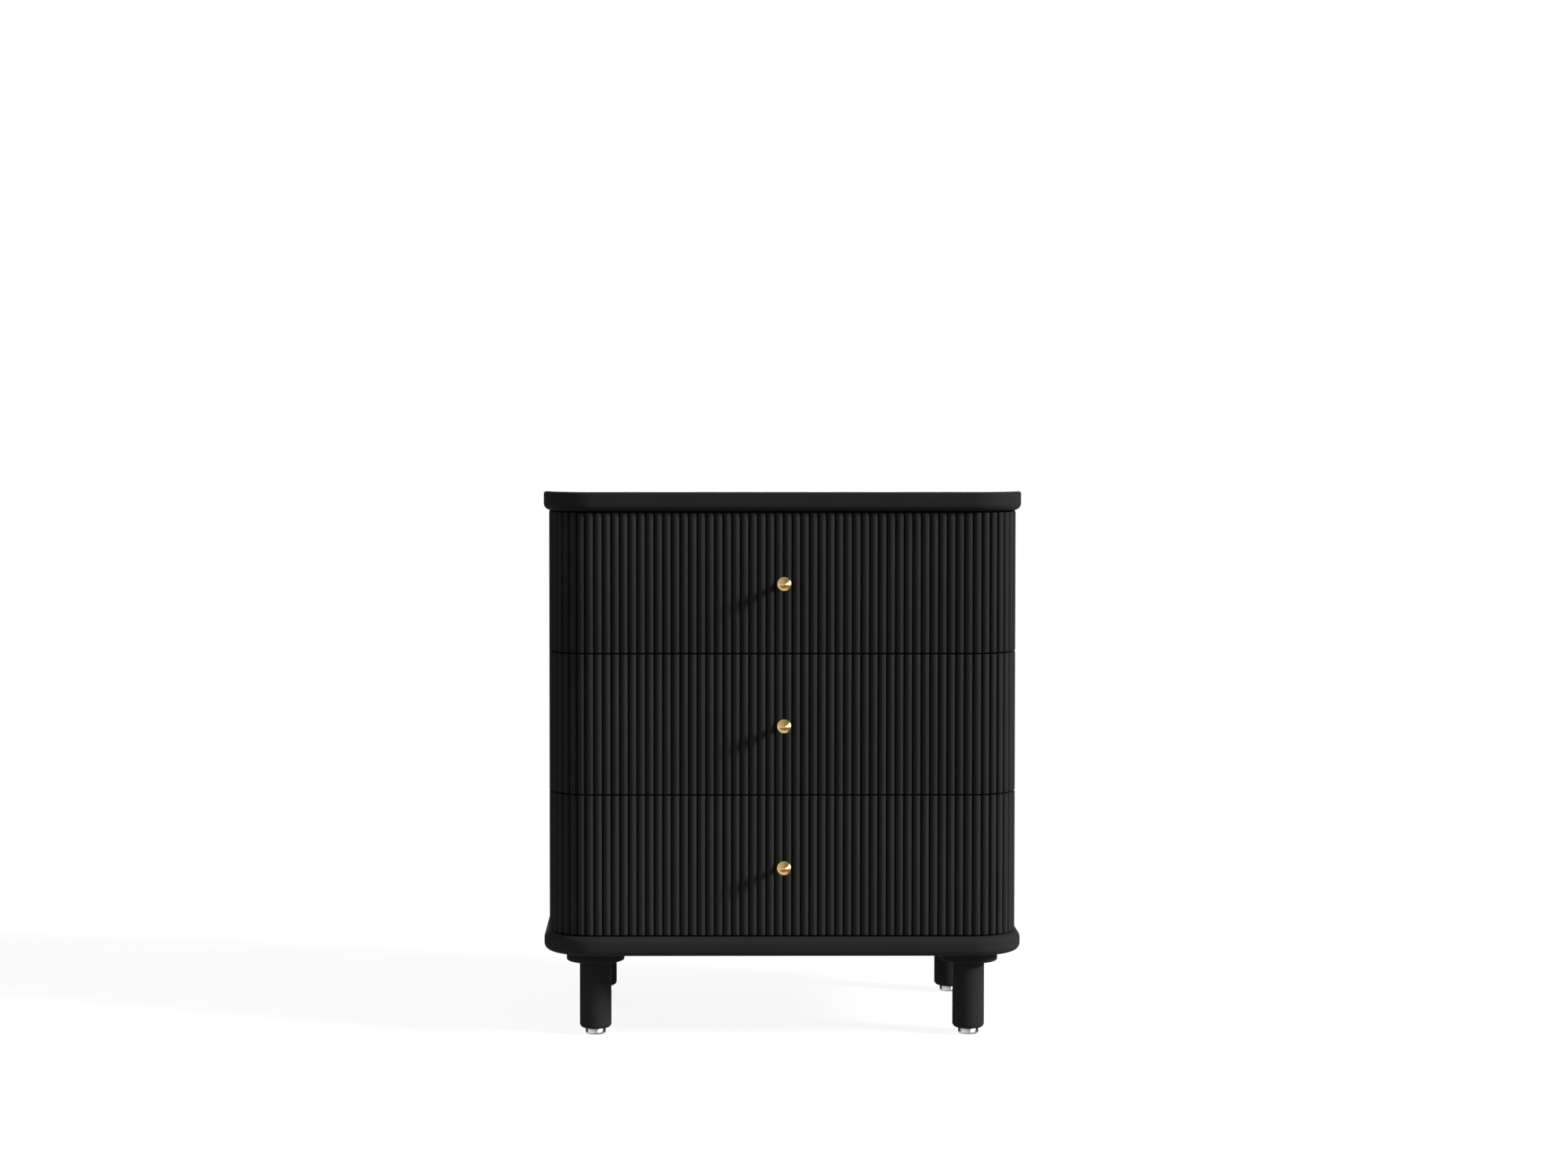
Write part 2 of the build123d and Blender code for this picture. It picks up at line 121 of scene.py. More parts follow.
class NightstandSizes(bpy.types.PropertyGroup):
    """Shapes that the frame's boxes don't tell."""

    flat_reeds: IntProperty(name="Flat reeds", description="Reeds across the flat front", default=44)
    corner_reeds: IntProperty(name="Corner reeds", description="Reeds round each front corner", default=8)
    reed_height: sized("Reed height", "How far a reed stands out of its groove", 0.0044)
    reed_gap: sized("Reed gap", "Flat ground between two reeds", 0.0007)
    facing_web: sized("Facing web", "Board left behind the grooves", 0.001)
    front_thick: sized("Front thickness", "Thickness of the bent front behind the facing", 0.015)
    front_edge: sized("Front edge", "Rounding of a drawer front's upper and lower edge", 0.0007)
    facing_back_edge: sized("Facing back edge", "Rounding of a facing's edges next to its front", 0.0002)
    panel_edge: sized("Panel edge", "Rounding of the top and base panels", 0.0085)
    top_edge: sized("Top edge", "Rounding of the top panel's upper edge", 0.0035)
    panel_corner: sized("Panel corner", "Corner radius of the top and base panels", 0.0646)
    board_edge: sized("Board edge", "Rounding of the carcass boards", 0.0015)
    box_edge: sized("Box edge", "Rounding of the drawer box boards", 0.0012)
    leg_edge: sized("Leg edge", "Rounding of a leg's lower end", 0.0055)
    plate_edge: sized("Plate edge", "Rounding of a leg plate's lower rim", 0.002)
    foot_edge: sized("Foot edge", "Rounding of a foot's lower rim", 0.0025)
    foot_chamfer: sized("Foot chamfer", "Rounding of a foot's upper rim", 0.0006)
    foot_height: sized("Foot height", "Height of a levelling foot below its leg", 0.008)
    insert_width: sized("Insert width", "Width of the threaded insert in a leg", 0.012)
    stud_width: sized("Stud width", "Outer width of a foot's thread", 0.008)
    stud_pitch: sized("Stud pitch", "Pitch of a foot's thread", 0.00125)
    runner_steel: sized("Runner steel", "Thickness of a runner's sheet steel", 0.0012)
    runner_bend: sized("Runner bend", "Bend radius at the middle of a runner's sheet", 0.0016)
    runner_hole: sized("Runner hole", "Width of the holes in a runner's web", 0.006)
    runner_pitch: sized("Runner pitch", "Distance between the holes in a runner's web", 0.032)
    cam_dome: sized("Cam dome", "Height of a cam lock's domed face", 0.0004)
    screw_proud: sized("Screw proud", "How far a leg plate screw stands out of its plate", 0.0006)
    ply_pitch: sized("Ply pitch", "Thickness of two plies of a drawer box board", 0.0024)
    knob_base: sized("Knob base", "Width of a knob where it meets the reeds", 0.013)
    knob_neck: sized("Knob neck", "Width of a knob's neck", 0.007)
    knob_cone: sized("Knob cone", "How far the coned face stands out of a knob's rim", 0.0046)
    knob_rim: sized("Knob rim", "Height of a knob's rim", 0.0022)
    knob_edge: sized("Knob edge", "Rounding between a knob's rim and its face", 0.0009)
    knob_base_thick: sized("Knob base thickness", "Thickness of a knob's base", 0.0025)
    knob_base_edge: sized("Knob base edge", "Rounding of a knob's base", 0.0006)
    knob_swell: FloatProperty(
        name="Knob swell",
        description="Power of the radius by which a knob's face falls: 1 is a cone and 2 a dome",
        default=1.6,
    )


class NightstandFinishes(bpy.types.PropertyGroup):
    """Colours of the finishes."""

    lacquer: coloured("Lacquer", "Satin black lacquer", (0.0235, 0.0235, 0.0235))
    back_board: coloured("Back board", "Matt black hardboard", (0.017, 0.017, 0.017))
    birch_light: coloured("Birch light", "Early wood of the drawer boxes", (0.62, 0.45, 0.28))
    birch_dark: coloured("Birch dark", "Late wood of the drawer boxes", (0.45, 0.29, 0.155))
    ply_dark: coloured("Ply dark", "Cross plies on the board edges", (0.27, 0.165, 0.085))
    steel: coloured("Steel", "Zinc plate on runners and screws", (0.56, 0.565, 0.58))
    chrome: coloured("Chrome", "Polished plate on the feet", (0.72, 0.72, 0.73))
    brass: coloured("Brass", "Polished brass on the knobs", (0.86, 0.57, 0.26))


def sizes():
    """The sizes that a user may change."""
    return bpy.context.scene.nightstand_sizes


def finishes():
    """The colours that a user may change."""
    return bpy.context.scene.nightstand_finishes


# Places read from the frame

def node_box(name):
    """A node's lowest and highest corner as arrays."""
    low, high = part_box(name)
    return np.array(low), np.array(high)


def extent(points):
    """The lowest and highest corner round some points."""
    return points.min(axis=0), points.max(axis=0)


def upright(name):
    """The lower end of a turned node's axis, its radius and its height, from its box."""
    low, high = node_box(name)
    middle = (low + high) / 2
    return np.array([middle[0], middle[1], low[2]]), (high[0] - low[0]) / 2, high[2] - low[2]


def front_layout():
    """The corner centres and the groove line's radius, from the box of a reeded facing: its depth is
    the radius to the crests, and its half width is that radius past the corner centre."""
    low, high = node_box("lower_drawer_facing")
    crest = high[1] - low[1]
    half = -node_box("left_side_panel")[0][0]
    return {"x": half - crest, "y": high[1], "groove": crest - sizes().reed_height}


def islands(name):
    """The points of each separate solid in a node, found by spreading the lowest label over shared
    corners until nothing changes."""
    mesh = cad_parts[name].data
    points = np.empty(len(mesh.vertices) * 3)
    mesh.vertices.foreach_get("co", points)
    points = points.reshape(-1, 3)
    corners = np.empty(len(mesh.loops), dtype=int)
    mesh.loops.foreach_get("vertex_index", corners)
    unique, where = np.unique(np.round(points, 6), axis=0, return_inverse=True)
    triangles = where.reshape(-1)[corners].reshape(-1, 3)
    labels = np.arange(len(unique))
    changed = True
    while changed:
        lowest = labels[triangles].min(axis=1)
        before = labels.copy()
        np.minimum.at(labels, triangles, lowest[:, None])
        changed = not np.array_equal(before, labels)
    return [unique[labels == label] for label in np.unique(labels)]


# Surfaces

def grid_faces(rows, columns, close_columns=False):
    """Quads between neighbours on a grid of points, wrapping round where its columns are closed."""
    start = np.arange(rows - 1)[:, None] * columns
    j = np.arange(columns if close_columns else columns - 1)
    here = start + j
    right = start + (j + 1) % columns
    return np.stack([here, right, right + columns, here + columns], axis=-1).reshape(-1, 4).tolist()


def quarter(steps):
    """Sines and cosines of angles from nothing to a quarter turn."""
    angle = np.linspace(0.0, math.pi / 2, steps)
    return np.sin(angle), np.cos(angle)


def rounded_rectangle(low, high, radius, steps=5):
    """A closed plan outline, anticlockwise: four quarter circles of one radius joined by straight runs."""
    angle = np.linspace(0.0, math.pi / 2, steps)
    turns = np.concatenate([angle + math.pi / 2 * k for k in range(4)])
    centre_x = np.repeat([high[0] - radius, low[0] + radius, low[0] + radius, high[0] - radius], steps)
    centre_y = np.repeat([high[1] - radius, high[1] - radius, low[1] + radius, low[1] + radius], steps)
    normals = np.stack([np.cos(turns), np.sin(turns)], axis=-1)
    return np.stack([centre_x, centre_y], axis=-1) + radius * normals, normals


def rims(low, high, edge, steps):
    """How far in and how high the points of an upright face lie, from its lower rim to its upper one: at
    each rim the face turns in through a quarter circle of the edge radius."""
    sine, cosine = quarter(steps)
    inset = edge * np.concatenate([1 - sine, 1 - cosine])
    return inset, np.concatenate([low + edge * (1 - cosine), high - edge * (1 - sine)])


def raised(plan, level):
    """Plan points with a level for each, as one list of points."""
    height = np.broadcast_to(level, plan.shape[:2])[..., None]
    return np.concatenate([plan, height], axis=-1).reshape(-1, 3)


def prism(outline, normals, low, high, edge, steps=5):
    """An upright solid on a closed outline, with its rims rounded: each level is the outline moved in
    along its normals by that level's inset."""
    inset, level = rims(low, high, edge, steps)
    points = raised(outline - inset[:, None, None] * normals, level[:, None])
    count = len(outline)
    faces = grid_faces(len(level), count, close_columns=True)
    faces.append(list(range(count))[::-1])
    faces.append(list(range(len(points) - count, len(points))))
    return points, faces


def board(name, edge):
    """A board that fills a node's box, with all its edges rounded."""
    low, high = node_box(name)
    outline, normals = rounded_rectangle(low, high, edge)
    return prism(outline, normals, low[2], high[2], edge)


def lathe(profile, centre, axis, segments=96):
    """A turned solid: the profile's radius is swung round the axis through the centre, and its height
    runs along the axis. The profile starts and ends on the axis, where fans of triangles close it."""
    axis = np.asarray(axis, dtype=float)
    side = np.cross(axis, ASKEW)
    side /= np.linalg.norm(side)
    other = np.cross(axis, side)
    angle = np.linspace(0.0, math.tau, segments, endpoint=False)
    ring = np.cos(angle)[:, None] * side + np.sin(angle)[:, None] * other
    radius, height = np.asarray(profile, dtype=float).T
    rings = radius[1:-1, None, None] * ring[None] + (height[1:-1, None] * axis)[:, None, :]
    ends = height[[0, -1], None] * axis
    points = np.concatenate([rings.reshape(-1, 3), ends]) + centre
    count = len(radius) - 2
    faces = grid_faces(count, segments, close_columns=True)
    first, last = count * segments, count * segments + 1
    j = np.arange(segments)
    following = (j + 1) % segments
    faces += np.stack([np.full(segments, first), following, j], axis=-1).tolist()
    top = (count - 1) * segments
    faces += np.stack([np.full(segments, last), top + j, top + following], axis=-1).tolist()
    return points, faces


def arc(centre, radius, start, end, steps):
    """Profile points on a circle between two angles in degrees."""
    angle = np.radians(np.linspace(start, end, steps))
    return [(centre[0] + radius * math.cos(a), centre[1] + radius * math.sin(a)) for a in angle]


def front_line(station):
    """Plan points and outward normals on the groove line. The station counts reeds from the left end:
    the normal turns through a quarter circle over the corner reeds, and the centre slides across over
    the flat ones."""
    layout = front_layout()
    corner, flat = sizes().corner_reeds, sizes().flat_reeds
    left = np.clip(station / corner, 0.0, 1.0)
    right = np.clip((station - corner - flat) / corner, 0.0, 1.0)
    angle = math.pi / 2 * (left - 1.0 + right)
    normals = np.stack([np.sin(angle), -np.cos(angle)], axis=-1)
    across = np.clip((station - corner) / flat, 0.0, 1.0)
    centre = np.stack([layout["x"] * (2 * across - 1), np.full_like(across, layout["y"])], axis=-1)
    return centre + layout["groove"] * normals, normals


def reed_stations(samples=14):
    """Stations round the front, closer together near the grooves, and how far out of the groove line
    the reeds stand there: a circle's arc over each reed, and nothing on the ground between."""
    total = sizes().flat_reeds + 2 * sizes().corner_reeds
    pitch = 2 * front_layout()["x"] / sizes().flat_reeds
    chord = pitch - sizes().reed_gap
    height = sizes().reed_height
    radius = ((chord / 2) ** 2 + height ** 2) / (2 * height)
    across = -np.cos(np.linspace(0.0, math.pi, samples)) * chord / 2
    rise = np.sqrt(radius ** 2 - across ** 2) - (radius - height)
    rise[[0, -1]] = 0.0
    stations = (np.arange(total)[:, None] + 0.5 + across[None] / pitch).ravel()
    stations = np.concatenate([[0.0], stations, [total]])
    return stations, np.concatenate([[0.0], np.tile(rise, total), [0.0]])


def front_wall(stations, outer, inner, low, high, outer_edge, inner_edge, steps=4):
    """A wall round the front: along its section's loop a point moves up the outer face, over the rounded
    upper edges, down the inner face and back, and every station carries that loop along its normal."""
    inset, level = rims(low, high, outer_edge, steps)
    inner_inset, inner_level = rims(low, high, inner_edge, steps)
    points, normals = front_line(stations)
    out = np.concatenate([
        outer[:, None] - inset[None],
        np.broadcast_to(inner + inner_inset[None, ::-1], (len(stations), len(level))),
    ], axis=1)
    plan = points[:, None] + out[..., None] * normals[:, None]
    points = raised(plan, np.concatenate([level, inner_level[::-1]]))
    loop = out.shape[1]
    faces = grid_faces(len(stations), loop, close_columns=True)
    faces.append(list(range(loop)))
    faces.append(list(range(len(points) - loop, len(points)))[::-1])
    return points, faces


def panel(name, upper, arc_steps=40, rim_steps=12, support=0.004):
    """A top or base panel: its rounded rim is carried round the sides and the front, and three flat
    faces close it above, below and behind. A narrow flat margin keeps the shading of the faces even."""
    low, high = node_box(name)
    corner, lower = sizes().panel_corner, sizes().panel_edge
    angle = np.linspace(0.0, math.pi / 2, arc_steps)
    turn = np.stack([-np.cos(angle), -np.sin(angle)], axis=-1)
    left = np.array([low[0] + corner, low[1] + corner]) + corner * turn
    left = np.concatenate([[[low[0], high[1]]], left])
    turn = np.concatenate([[[-1.0, 0.0]], turn])
    path = np.concatenate([left, left[::-1] * MIRROR_X])
    normals = np.concatenate([turn, turn[::-1] * MIRROR_X])
    sine, cosine = quarter(rim_steps)
    inset = np.concatenate([
        [upper + support], upper * (1 - sine), lower * (1 - cosine), [lower + support],
    ])
    level = np.concatenate([
        [high[2]], high[2] - upper * (1 - cosine), low[2] + lower * (1 - sine), [low[2]],
    ])
    points = raised(path[:, None] - inset[:, None] * normals[:, None], level)
    rows, columns = len(path), len(level)
    start = np.arange(rows) * columns
    faces = grid_faces(rows, columns)
    faces.append(start.tolist())
    faces.append((start + columns - 1)[::-1].tolist())
    faces.append(list(range(columns))[::-1] + list(range(len(points) - columns, len(points))))
    return points, faces


def box_front(drawer, steps=10):
    """The board behind a bent front: straight behind, with its front corners rounded to nest inside."""
    low, high = node_box(f"{drawer}_drawer_box_front")
    layout = front_layout()
    radius = layout["groove"] - sizes().facing_web - sizes().front_thick
    edge = sizes().box_edge
    angle = np.linspace(0.0, math.asin((high[0] - layout["x"]) / radius), steps)
    turn = np.stack([np.sin(angle), -np.cos(angle)], axis=-1)
    right = np.array([layout["x"], layout["y"]]) + radius * turn
    back, back_turn = rounded_rectangle(low, high, edge)
    upper = slice(0, len(back) // 2)
    outline = np.concatenate([right, back[upper], right[::-1] * MIRROR_X])
    normals = np.concatenate([turn, back_turn[upper], turn[::-1] * MIRROR_X])
    return prism(outline, normals, low[2], high[2], edge)


def screw_shape(length, head, width, shank, taper, steps=11, segments=32):
    """One screw, with its head's top at the origin and its axis along +Z: a low dome with a cross pressed
    into it, whose depth falls off with the distance from the nearer arm of the cross, and a shank that
    runs to a point over its taper."""
    radius = width / 2
    profile = [(radius * t, -DOME_FALL * head * t * t) for t in np.linspace(0.0, 1.0, steps)]
    profile += [(radius, -head), (shank / 2, -head), (shank / 2, -length + taper), (0.0, -length)]
    points, faces = lathe(profile, np.zeros(3), UP, segments)
    aside = np.abs(points[:, :2]).min(axis=1) / radius
    reach = np.linalg.norm(points[:, :2], axis=1) / radius
    arm = np.clip((CROSS_HALF_WIDTH - aside) / CROSS_SLOPE, 0.0, 1.0)
    arm *= np.clip((CROSS_REACH - reach) / CROSS_END, 0.0, 1.0)
    on_dome = points[:, 2] > -(1 + DOME_FALL) / 2 * head
    points[:, 2] -= np.where(on_dome, arm * head * CROSS_DEPTH, 0.0)
    return points, faces


def joined(shapes):
    """Several shapes as one."""
    points, faces, total = [], [], 0
    for shape_points, shape_faces in shapes:
        points.append(shape_points)
        faces += [[total + corner for corner in face] for face in shape_faces]
        total += len(shape_points)
    return np.concatenate(points), faces


def stood(shape, axis, place):
    """A shape with its Z axis turned on to another axis, and its origin moved to a place."""
    points, faces = shape
    side = np.roll(np.abs(axis), 1)
    return points @ np.stack([side, np.cross(axis, side), axis]) + place, faces


def screws(name, proud):
    """Screws in the places of a node's solids. Each solid's longest side is its axis, and the end with
    the widest ring of points is its head, which may stand proud of the solid."""
    shapes = []
    for solid in islands(name):
        low, high = extent(solid)
        along = int(np.argmax(high - low))
        middle = (low + high) / 2
        flat = np.delete(solid - middle, along, axis=1)
        reach = np.linalg.norm(flat, axis=1)
        radius = reach.max()
        wide = solid[reach > HEAD_RING * radius][:, along]
        sign = 1.0 if wide.mean() > middle[along] else -1.0
        shank = 2 * reach[reach < SHANK_RING * radius].max()
        axis = np.zeros(3)
        axis[along] = sign
        place = middle.copy()
        place[along] = (high if sign > 0 else low)[along] + sign * proud
        screw = screw_shape(high[along] - low[along], np.ptp(wide), 2 * radius, shank, shank / 2)
        shapes.append(stood(screw, axis, place))
    return joined(shapes)


def cams(name):
    """Cam locks in the places of a node's solids: each is a short round body whose low dome, with a cross
    pressed into it, stands out of the board towards the middle of the cabinet."""
    shapes = []
    for solid in islands(name):
        low, high = extent(solid)
        place = (low + high) / 2
        inward = -math.copysign(1.0, place[0])
        place[0] = (high if inward > 0 else low)[0] + inward * sizes().cam_dome
        width = high[2] - low[2]
        dome = screw_shape(high[0] - low[0], sizes().cam_dome / DOME_FALL, width, CAM_BODY * width, 0.0)
        shapes.append(stood(dome, np.array([inward, 0.0, 0.0]), place))
    return joined(shapes)


def thickened(points, normals, faces, thickness):
    """A sheet made solid: its points moved half the thickness out and in along their normals, and a rim
    of quads on each edge that only one face has."""
    used, faces = np.unique(faces, return_inverse=True)
    faces = faces.reshape(-1, 4)
    shift = normals[used] * thickness / 2
    count = len(used)
    edges = np.stack([faces, np.roll(faces, -1, axis=1)], axis=-1).reshape(-1, 2)
    key = np.sort(edges, axis=1) @ [count, 1]
    _, first, uses = np.unique(key, return_index=True, return_counts=True)
    rim = edges[first[uses == 1]]
    rim = np.concatenate([rim[:, ::-1], rim + count], axis=1)
    solid = np.concatenate([points[used] + shift, points[used] - shift])
    return solid, np.concatenate([faces, faces[:, ::-1] + count, rim]).tolist()


def runner(solid, web_outside, hole, pitch, steps=4):
    """A folded steel runner: across, a web with a quarter-circle bend and a flange at each end, carried
    along the solid's length. A hole's cells are left out of the grid, and the square rings of points
    round it are pulled on to circles, less and less up to the border of its patch."""
    low, high = extent(solid)
    steel, bend = sizes().runner_steel, sizes().runner_bend
    half, deep = (high[2] - low[2] - steel) / 2, high[0] - low[0] - steel / 2
    patch = hole / 2 / HOLE_SHARE
    ring = np.array([HOLE_SHARE / 2, HOLE_SHARE, HOLE_RING, 1.0])
    rings = patch * np.concatenate([-ring[::-1], [0.0], ring])
    sine, cosine = quarter(steps)
    fold = np.append(bend * (1 - cosine), deep)
    rise = np.append(half - bend * (1 - sine), half)
    depth = np.concatenate([fold[::-1], np.zeros(len(rings)), fold])
    level = np.concatenate([-rise[::-1], rings, rise])
    out, up = np.append(cosine, 0.0), np.append(sine, 1.0)
    lean_out = np.concatenate([out[::-1], np.ones(len(rings)), out])
    lean_up = np.concatenate([-up[::-1], np.zeros(len(rings)), up])
    middle = (low + high) / 2
    reach = int(((high[1] - low[1]) / 2 - patch) / pitch)
    centres = middle[1] + pitch * np.arange(-reach, reach + 1)
    along = np.concatenate([[low[1]], (centres[:, None] + rings).ravel(), [high[1]]])
    nearest = centres[np.abs(along[:, None] - centres).argmin(axis=1)]
    u, v = np.meshgrid((along - nearest) / patch, level / patch, indexing="ij")
    square = np.maximum(np.abs(u), np.abs(v))
    pull = np.clip((1 - square) / (1 - HOLE_SHARE), 0.0, 1.0)
    scale = 1 + pull * (square / np.maximum(np.hypot(u, v), TINY) - 1)
    side = math.copysign(1.0, middle[0])
    towards = -side if web_outside else side
    web = (low if towards > 0 else high)[0] + towards * steel / 2
    points = np.stack([
        np.broadcast_to(web + towards * depth, u.shape),
        nearest[:, None] + u * scale * patch,
        middle[2] + v * scale * patch,
    ], axis=-1).reshape(-1, 3)
    normals = np.stack([-towards * lean_out, np.zeros_like(depth), lean_up], axis=-1)
    normals = np.broadcast_to(normals, u.shape + (3,)).reshape(-1, 3)
    faces = np.array(grid_faces(*u.shape))
    solid_cells = square.ravel()[faces].max(axis=1) > HOLE_SHARE + NEAR
    return thickened(points, normals, faces[solid_cells], steel)


def runners(name, web_outside, hole, pitch):
    """The left and right runner of a node."""
    return joined([runner(solid, web_outside, hole, pitch) for solid in islands(name)])


def threaded_foot(name, segments=48):
    """A levelling foot: a low disc with a rounded lower rim, and a stud whose radius rises and falls with
    height and angle together, so its thread is a helix."""
    s = sizes()
    centre, radius, tall = upright(name)
    edge, chamfer, disc, stud = s.foot_edge, s.foot_chamfer, s.foot_height, s.stud_width / 2
    profile = [(0.0, 0.0)]
    profile += arc((radius - edge, edge), edge, -90, 0, steps=8)
    profile += arc((radius - chamfer, disc - chamfer), chamfer, 0, 90, steps=4)
    rows = np.linspace(disc, tall, int((tall - disc) / s.stud_pitch * THREAD_ROWS))
    profile += [(stud, z) for z in rows] + [(0.0, tall)]
    points, faces = lathe(profile, centre, UP, segments)
    flat = points - centre
    reach = np.linalg.norm(flat[:, :2], axis=1)
    turn = np.arctan2(flat[:, 1], flat[:, 0]) / math.tau
    phase = (flat[:, 2] / s.stud_pitch - turn) % 1.0
    depth = THREAD_DEPTH * s.stud_pitch * np.abs(2 * phase - 1)
    on_stud = (np.abs(reach - stud) < NEAR) & (flat[:, 2] > disc + NEAR)
    scale = np.where(on_stud, (reach - depth) / np.maximum(reach, TINY), 1.0)
    points[:, :2] = centre[:2] + flat[:, :2] * scale[:, None]
    return points, faces


def leg(name):
    """A turned leg: a blind hole for the insert, a flat end, a rounded lower edge and a straight side."""
    centre, radius, tall = upright(name)
    hole, edge, deep = sizes().insert_width / 2, sizes().leg_edge, LEG_BORE * tall
    profile = [(0.0, deep), (hole, deep), (hole, 0.0)]
    profile += arc((radius - edge, edge), edge, -90, 0, steps=14)
    profile += [(radius, tall / 2), (radius, tall), (0.0, tall)]
    return lathe(profile, centre, UP)


def leg_plate(name):
    """A turned plate with its lower rim rounded."""
    centre, radius, tall = upright(name)
    edge = sizes().plate_edge
    rim = arc((radius - edge, edge), edge, -90, 0, steps=8)
    return lathe([(0.0, 0.0), *rim, (radius, tall), (0.0, tall)], centre, UP)


def knob(name, neck_steps=16, face_steps=24):
    """A turned knob: a base with a rounded rim, a waisted neck, a flared back, and a face that falls away
    from its tip with a power of the radius, between a cone's and a dome's, into a rounded edge."""
    low, high = node_box(name)
    s = sizes()
    radius = (high[0] - low[0]) / 2
    long = high[1] - low[1]
    rim = long - s.knob_cone - s.knob_rim
    base, neck, thick = s.knob_base / 2, s.knob_neck / 2, s.knob_base_thick
    soft, edge = s.knob_base_edge, s.knob_edge
    profile = [(0.0, 0.0), (base, 0.0)]
    profile += arc((base - soft, thick - soft), soft, 0, 90, steps=5)
    waist = np.linspace(0.0, 1.0, neck_steps)
    widening = np.clip((waist - KNOB_WAIST) / (1 - KNOB_WAIST), 0.0, 1.0) ** KNOB_FLARE
    flare = neck + (radius - neck) * widening
    profile += [(r, thick + (rim - thick) * t) for r, t in zip(flare[1:], waist[1:])]
    lean = math.atan2(radius, s.knob_cone * s.knob_swell)
    reach = np.linspace(1.0 - edge / radius * (1.0 - math.cos(lean)), 0.0, face_steps)
    face = long - s.knob_cone * reach ** s.knob_swell
    corner = (radius - edge, face[0] - edge * math.sin(lean))
    profile += arc(corner, edge, 0, math.degrees(lean), steps=8)
    profile += [(radius * r, z) for r, z in zip(reach[1:], face[1:])]
    centre = np.array([(low[0] + high[0]) / 2, high[1], (low[2] + high[2]) / 2])
    return lathe(profile, centre, (0.0, -1.0, 0.0))


# Pieces

def placed(name, data):
    """A new object in the scene."""
    made = bpy.data.objects.new(name, data)
    bpy.context.collection.objects.link(made)
    return made


def add_piece(node, shape, body, slot, material, sharp=35.0):
    """Puts a surface into the scene as a piece that rides on a body and stands for a node. Edges sharper
    than an angle in degrees stay sharp."""
    name = f"{node}_piece"
    points, faces = shape
    mesh = bpy.data.meshes.new(name)
    mesh.from_pydata(points.tolist(), [], faces)
    work = bmesh.new()
    work.from_mesh(mesh)
    bmesh.ops.remove_doubles(work, verts=work.verts, dist=MERGED)
    bmesh.ops.recalc_face_normals(work, faces=work.faces)
    work.to_mesh(mesh)
    work.free()
    mesh.shade_smooth()
    mesh.set_sharp_from_angle(angle=math.radians(sharp))
    mesh.materials.append(finish(material))
    piece = placed(name, mesh)
    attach(piece, body)
    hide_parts(node)
    return piece


def polish_upper_face(piece):
    """Gives the faces that look up, and the upper part of the edge round them, the polished finish."""
    mesh = piece.data
    mesh.materials.append(finish("polished_black_lacquer"))
    normals = np.empty(len(mesh.polygons) * 3)
    mesh.polygons.foreach_get("normal", normals)
    upward = normals.reshape(-1, 3)[:, 2] > UPWARD
    mesh.polygons.foreach_set("material_index", upward.astype(np.int32))


def mark_crests(piece, rise):
    """Notes on a facing's points how far out of their groove they lie, from nothing to one on a crest; the
    reeded lacquer reads this to paint shade into the grooves and a highlight on the crests.
    """
    loop = len(piece.data.vertices) // len(rise)
    crest = piece.data.attributes.new(CREST, "FLOAT", "POINT")
    crest.data.foreach_set("value", np.repeat(rise / rise.max(), loop).astype(np.float32))


def dress(node, material):
    """Gives a node that is shown as it is a better material."""
    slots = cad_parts[node].data.materials
    slots.clear()
    slots.append(finish(material))


# Materials

def give(tree, node, inputs):
    """Sets a node's inputs to values, or links them to other nodes' sockets."""
    for key, value in inputs.items():
        if isinstance(value, bpy.types.NodeSocket):
            tree.links.new(value, node.inputs[key])
        else:
            node.inputs[key].default_value = value


def put(tree, kind, inputs=None, **settings):
    """Adds a node, with settings, and with inputs that are values or other nodes' sockets."""
    made = tree.nodes.new(kind)
    for key, value in settings.items():
        setattr(made, key, value)
    give(tree, made, inputs or {})
    return made


def sum_up(tree, operation, first, second=0.0):
    """The output of a Math node on one or two values or sockets."""
    return put(tree, "ShaderNodeMath", {0: first, 1: second}, operation=operation).outputs[0]


def times(tree, first, second):
    """The product of two values or sockets."""
    return sum_up(tree, "MULTIPLY", first, second)


def mixed(tree, factor, first, second):
    """The colour output of a Mix node."""
    return put(tree, "ShaderNodeMix", {0: factor, 6: first, 7: second}, data_type="RGBA").outputs[2]


def scaled(tree, colour, factor):
    """A colour made paler or darker by a factor."""
    return put(tree, "ShaderNodeVectorMath", {0: colour, "Scale": factor}, operation="SCALE").outputs[0]


def grey(tree, tone):
    """A colour with one tone in all three parts."""
    return put(tree, "ShaderNodeCombineColor", {0: tone, 1: tone, 2: tone}).outputs[0]


def spread(tree, value, low, high, to_low, to_high):
    """Maps a value from one range to another, without leaving it."""
    inputs = {"Value": value, "From Min": low, "From Max": high, "To Min": to_low, "To Max": to_high}
    return put(tree, "ShaderNodeMapRange", inputs).outputs[0]


def rising(tree, value, span):
    """Nothing below a span of values, one above it, and a slope between."""
    return spread(tree, value, *span, 0.0, 1.0)


def falling(tree, value, span):
    """One below a span of values, nothing above it, and a slope between."""
    return spread(tree, value, *span, 1.0, 0.0)


def noise(tree, vector, scale, detail):
    """The value output of a Noise node."""
    return put(tree, "ShaderNodeTexNoise", {"Vector": vector, "Scale": scale, "Detail": detail}).outputs[0]


def drawn_out(tree, vector, scale):
    """A vector scaled by its own amount along each axis."""
    return put(tree, "ShaderNodeMapping", {"Vector": vector, "Scale": scale}).outputs[0]


def emptied(owner):
    """The node tree of a material or a world, with no nodes in it."""
    owner.use_nodes = True
    owner.node_tree.nodes.clear()
    return owner.node_tree


def painted(colour):
    """One of the finishes' colours, with nothing let through."""
    return (*getattr(finishes(), colour), 1.0)


